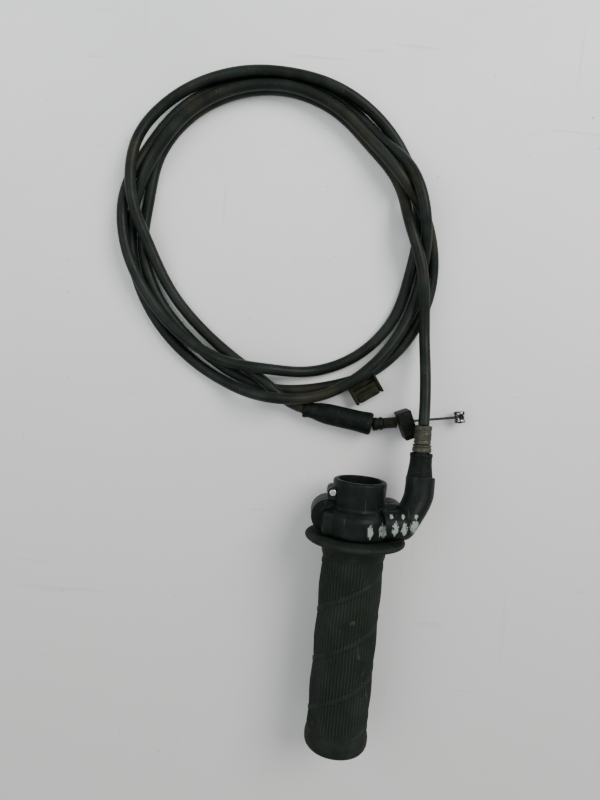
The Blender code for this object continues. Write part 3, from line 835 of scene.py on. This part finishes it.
def guide_boot(material):
    """The rubber sleeve on the pipe, a little wider at its foot, which goes into the elbow."""
    band, along = guide_axis()
    profile = [
        (5.0, -2.5), (5.8, -2.5), (6.0, -3.0), (5.95, -4.0), (5.75, -4.6), (5.8, -7.5),
        (6.2, -11.0), (6.75, -14.6), (7.1, -17.6), (7.1, -19.0), (5.4, -19.4), (5.0, -18.0),
    ]
    boot = lathe("pipe_sleeve", rounded(profile, 0.5), band, along, 72, 60)
    return finished(boot, material, "soft_rubber", "housing", "elbow_boot")


# The carburettor end

def along_wire(distance):
    """A point on the free wire's line, so many millimetres from its start."""
    start, end = world(*WIRE_START), world(*WIRE_END)
    return start + (end - start).normalized() * distance * MM


def end_sleeve(material):
    """The rubber sleeve over the cable's end, tapered on to the jacket."""
    start, end = world(*CABLE_TAIL[-1]), world(*WIRE_START)
    length = (end - start).length / MM
    profile = [
        (3.2, -2.0), (4.5, -2.0), (4.8, -1.2), (4.7, 0.2), (4.25, 0.9), (4.4, 3.5), (5.2, 7.0),
        (5.7, 11.0), (5.8, 15.0), (5.75, 22.0), (5.8, length - 8), (6.0, length - 4.5),
        (6.25, length - 2.2),
        (6.1, length - 0.6), (5.4, length), (4.2, length - 0.2), (3.6, length - 2.0),
        (1.4, length - 2.6), (1.4, 4.0), (3.2, 2.0),
    ]
    made = lathe("end_sleeve", rounded(profile, 0.5), start, end - start, 72, 60)
    return finished(made, material, "soft_rubber", "housing", "carb_boot")


def end_fittings(dull, dark):
    direction = world(*WIRE_END) - world(*WIRE_START)
    collar = rounded([(1.2, 0.4), (3.3, 0.4), (3.6, 0.9), (3.6, 3.0), (3.2, 3.4), (3.2, 3.9),
                      (3.6, 4.3), (3.6, 5.6), (3.3, 6.0), (1.2, 6.0)], 0.2)
    made = lathe("end_ferrule", collar, along_wire(0), direction, 64)
    finished(made, dark, "dull_steel", "housing", "carb_ferrule")
    thread = [(1.2, 6.2), (2.5, 6.2)]
    turns = 14
    pitch = 0.52
    for turn in range(turns):
        thread += [(2.75, 6.3 + turn * pitch), (3.1, 6.3 + (turn + 0.5) * pitch)]
    thread += [(2.6, 13.7), (1.2, 13.7)]
    made = lathe("end_adjuster", thread, along_wire(0), direction, 48)
    finished(made, dull, "dull_steel", "housing", "carb_adjuster")


def end_block(material):
    """The square nut on the adjuster, tilted as it lies, with one chamfered corner."""
    low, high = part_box("carb_nut")
    middle = (low + high) / 2
    height = (high.z - low.z) / MM - 1.0
    block = added_block("end_block", middle, (7.4, 15.2, height), BLOCK_TURN, 0.45)
    chamfer = added_block("chamfer", middle + Vector((-6.4, -7.2, 0)) * MM, (6.0, 4.0, 30.0),
                          BLOCK_TURN - 0.6, 0.2)
    cut(block, chamfer)
    bore = added_rod("bore", along_wire(6), along_wire(30), 1.6, 24)
    cut(block, bore)
    smooth(block, 35)
    return finished(block, material, "black_nut", "housing", "carb_nut")


def wire_end(strand, bright):
    low = along_wire(21.0)
    length = (world(*WIRE_END) - world(*WIRE_START)).length / MM
    high = along_wire(length - 2.2)
    reach = (high - low).length / MM
    rod = [(0, 0), (0.6, 0), (0.7, 0.1), (0.7, reach), (0, reach)]
    made = lathe("wire_strand", rod, low, high - low, 20)
    finished(made, strand, "bright_steel", "inner_wire", "carb_wire")
    across = Vector((0, 0, 1)).cross(along_wire(1) - along_wire(0)).normalized()
    barrel = rounded([(0, 0), (2.6, 0), (3.0, 0.4), (3.0, 1.6), (2.6, 1.9), (2.6, 4.5), (3.0, 4.8),
                      (3.0, 6.0), (2.6, NIPPLE_LENGTH), (0, NIPPLE_LENGTH)], 0.2)
    start = along_wire(length) - across * NIPPLE_LENGTH / 2 * MM
    made = lathe("barrel_nipple", barrel, start, across, 48)
    finished(made, bright, "bright_steel", "inner_wire", "carb_nipple")


# The inside: these nodes keep their own meshes and take new materials

def inside(white, dull, bright):
    finishes = {
        "throttle_tube": white, "thrust_washer": white, "elbow_pipe": dull, "drum_nipple": bright,
        "drum_wire": bright, "pipe_wire": bright,
    }
    for name, material in finishes.items():
        mesh = frame["nodes"][name].data
        mesh.materials.clear()
        mesh.materials.append(material)


# The bench and the light

def bench():
    bpy.ops.object.select_all(action="DESELECT")
    bpy.ops.mesh.primitive_plane_add(size=6.0, location=(0, 0, 0))
    floor = bpy.context.object
    floor.name = "bench"
    floor.data.materials.append(bench_top())


def area_light(name, place, size, power, colour=(1, 1, 1)):
    data = bpy.data.lights.new(name, "AREA")
    data.shape = "DISK"
    data.size = size
    data.energy = power
    data.color = colour
    light = bpy.data.objects.new(name, data)
    light.location = place
    target = Vector((-0.03, 0.08, 0))
    light.rotation_euler = (Vector(place) - target).to_track_quat("Z", "Y").to_euler()
    bpy.context.collection.objects.link(light)


def studio():
    scene_world = bpy.data.worlds.new("studio")
    scene_world.use_nodes = True
    background = scene_world.node_tree.nodes["Background"]
    background.inputs["Color"].default_value = (0.93, 0.96, 1.0, 1.0)
    background.inputs["Strength"].default_value = 0.60
    bpy.context.scene.world = scene_world
    area_light("window", (0.75, 0.75, 1.1), 0.9, 20.0, (1.0, 0.99, 0.97))
    area_light("fill", (-0.9, 0.3, 1.2), 1.3, 9.0, (0.97, 0.99, 1.0))


def build():
    add_camera()
    line = cable_line()
    black = moulded_black()
    rubber = sleeve_black()
    dull, bright = dull_metal(), bright_metal()
    jacket = cable(line, cable_black())
    clip = cable_clip(clip_brown())
    grip(grip_black())
    housing_top(painted_black())
    housing_base(black)
    housing_fasteners(dull, bright)
    guide_metal(dull)
    guide_boot(rubber)
    sleeve = end_sleeve(rubber)
    dark = block_black()
    end_fittings(dull, dark)
    end_block(dark)
    wire_end(strand_metal(), painted_reflection_metal())
    inside(sliding_white(), dull, bright)
    bench()
    studio()


build()
